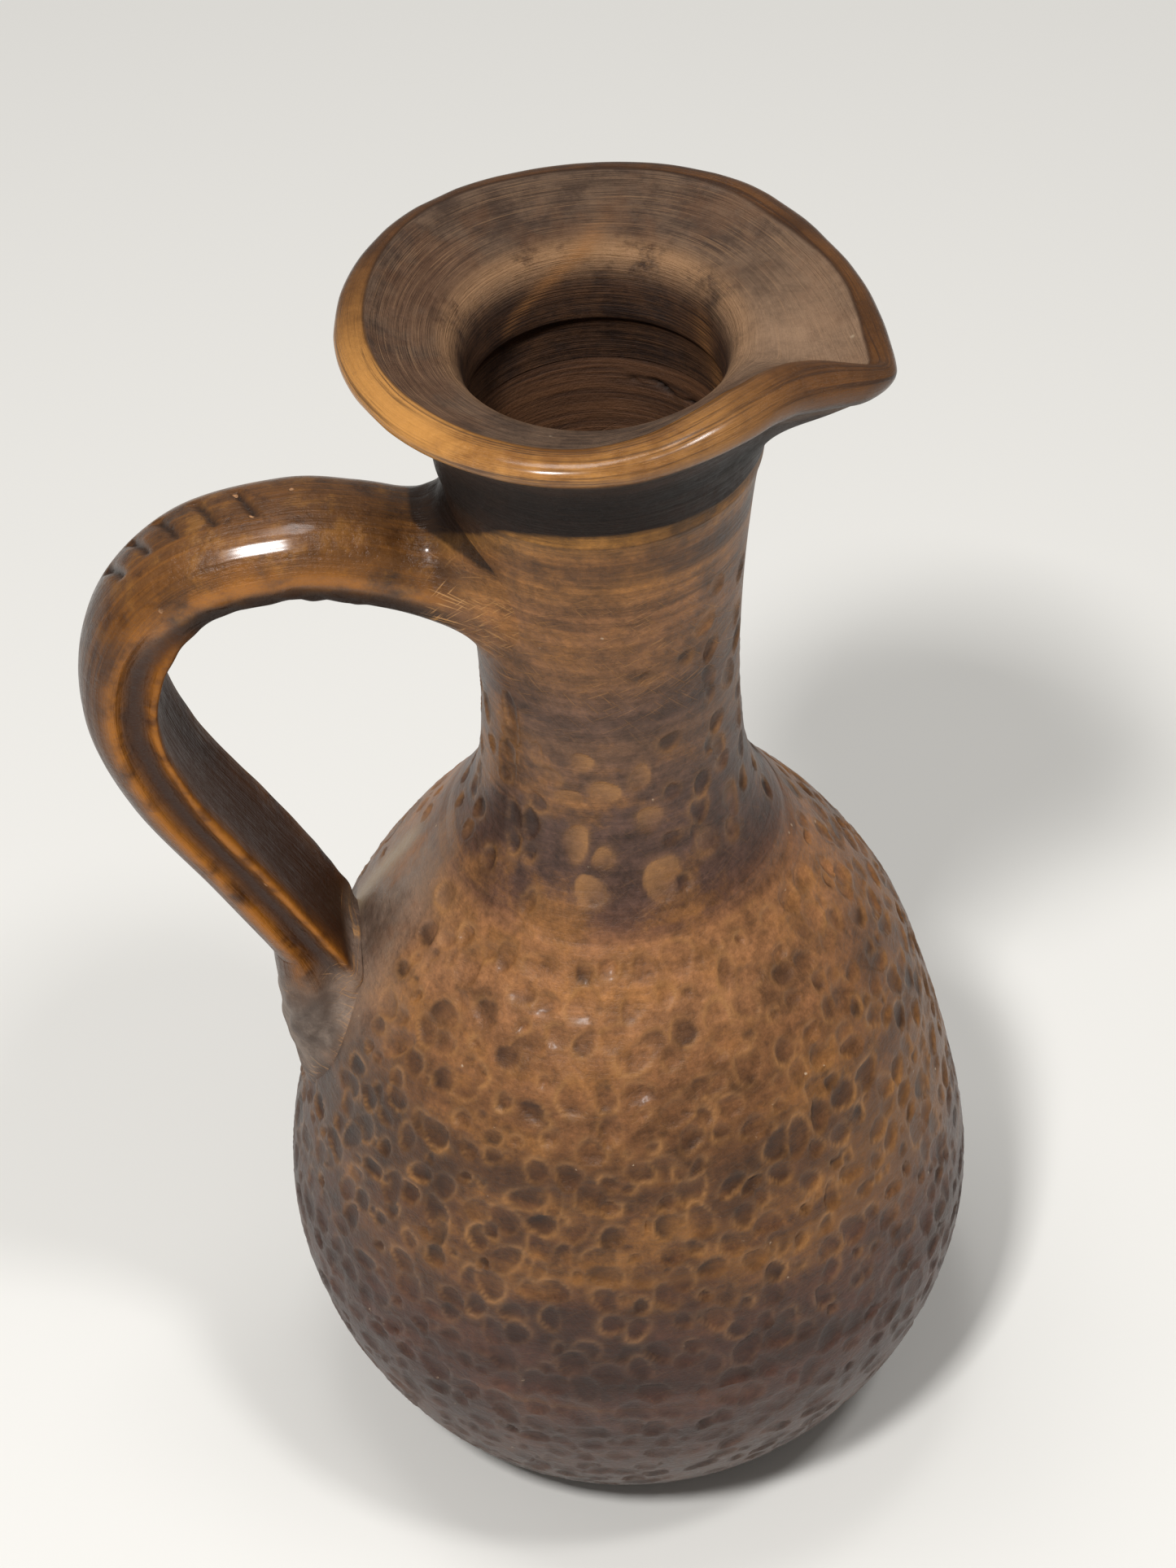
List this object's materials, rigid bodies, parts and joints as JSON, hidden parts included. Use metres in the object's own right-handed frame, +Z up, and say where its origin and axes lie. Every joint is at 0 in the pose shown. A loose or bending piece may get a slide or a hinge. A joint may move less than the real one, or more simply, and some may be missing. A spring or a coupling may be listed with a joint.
{
  "type": "earthenware pitcher",
  "caption": "Tall-necked earthenware pitcher with a globular dimpled belly, flared mouth with a pinched pouring lip, and a pulled strap handle.",
  "frame": {"origin": "centre of the flat underside of the foot", "axes": "+Z up along the vessel's axis, -X towards the handle, the pouring lip 22 degrees round from +X towards -Y"},
  "size_m": [0.1777, 0.1488, 0.2974],
  "materials": {
    "belly_clay": "satin",
    "neck_clay": "satin",
    "mouth_clay": "satin",
    "handle_clay": "satin"
  },
  "bodies": {
    "root": {"belly": "belly_clay", "shoulder": "belly_clay", "neck": "neck_clay", "mouth": "mouth_clay", "handle": "handle_clay", "handle_saddle": "handle_clay", "handle_tail": "handle_clay"}
  },
  "joints": []
}
